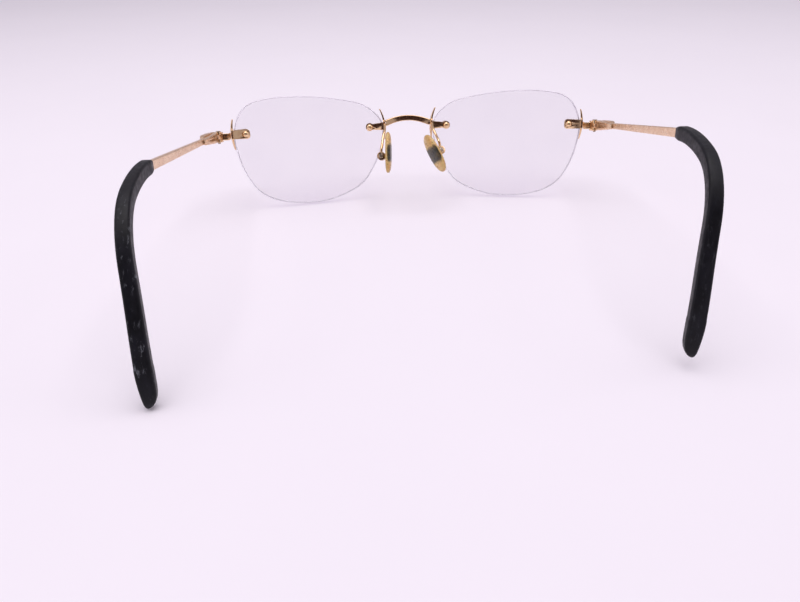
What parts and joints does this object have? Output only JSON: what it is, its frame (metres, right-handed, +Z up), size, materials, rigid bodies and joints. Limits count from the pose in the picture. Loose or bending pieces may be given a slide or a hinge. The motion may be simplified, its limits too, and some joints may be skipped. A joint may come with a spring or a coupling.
{
  "type": "rimless eyeglasses",
  "caption": "Rimless eyeglasses with clear drilled lenses, gold bridge, rocking nose pads, folding gold temples and black sleeves.",
  "frame": {"origin": "the middle of the footprint, on the surface that the opened glasses stand on", "axes": "+X towards the wearer's left, +Y from the lenses back along the temples, +Z up; the lenses face -Y"},
  "size_m": [0.1404, 0.1218, 0.0468],
  "materials": {
    "gold": "polished to satin rose gold plate",
    "lens": "clear polished lens resin",
    "nylon": "translucent moulded sleeve",
    "pad": "aged translucent amber",
    "core": "tarnished brass",
    "steel": "turned screw head",
    "sleeve": "satin black, lightly scuffed"
  },
  "bodies": {
    "front": {"bridge_arch": "gold", "endpiece_left": "gold", "endpiece_right": "gold", "hinge_screw_left": "steel", "hinge_screw_right": "steel", "lens_bushing_nasal_left": "nylon", "lens_bushing_nasal_right": "nylon", "lens_bushing_temporal_left": "nylon", "lens_bushing_temporal_right": "nylon", "lens_left": "lens", "lens_nut_nasal_left": "gold", "lens_nut_nasal_right": "gold", "lens_nut_temporal_left": "gold", "lens_nut_temporal_right": "gold", "lens_right": "lens", "lens_screw_nasal_left": "gold", "lens_screw_nasal_right": "gold", "lens_screw_temporal_left": "gold", "lens_screw_temporal_right": "gold", "nasal_strap_left": "gold", "nasal_strap_right": "gold", "pad_arm_left": "gold", "pad_arm_right": "gold", "pad_box_left": "gold", "pad_box_right": "gold", "pad_screw_left": "steel", "pad_screw_right": "steel", "temporal_strap_left": "gold", "temporal_strap_right": "gold"},
    "temple_left": {"temple_bar_left": "gold", "hinge_leaf_left": "gold", "temple_sleeve_left": "sleeve"},
    "temple_right": {"temple_bar_right": "gold", "hinge_leaf_right": "gold", "temple_sleeve_right": "sleeve"},
    "pad_left": {"nose_pad_left": "pad", "pad_core_left": "core"},
    "pad_right": {"nose_pad_right": "pad", "pad_core_right": "core"}
  },
  "joints": [
    {"name": "left_temple_fold", "type": "hinge", "parent": "front", "child": "temple_left", "pos_m": [0.06451, -0.04929, 0.02518], "axis": [0, -0.2874, 0.9578], "range_deg": [-4, 84]},
    {"name": "right_temple_fold", "type": "hinge", "parent": "front", "child": "temple_right", "pos_m": [-0.06689, -0.04929, 0.02518], "axis": [0, 0.2874, -0.9578], "range_deg": [-4, 76]},
    {"name": "left_pad_rock", "type": "hinge", "parent": "front", "child": "pad_left", "pos_m": [0.00901, -0.04445, 0.01828], "axis": [0.1377, 0.8978, 0.4183], "range_deg": [-18, 6]},
    {"name": "right_pad_rock", "type": "hinge", "parent": "front", "child": "pad_right", "pos_m": [-0.01139, -0.0448, 0.01943], "axis": [-0.2959, 0.7895, 0.5377], "range_deg": [-18, 6]}
  ]
}
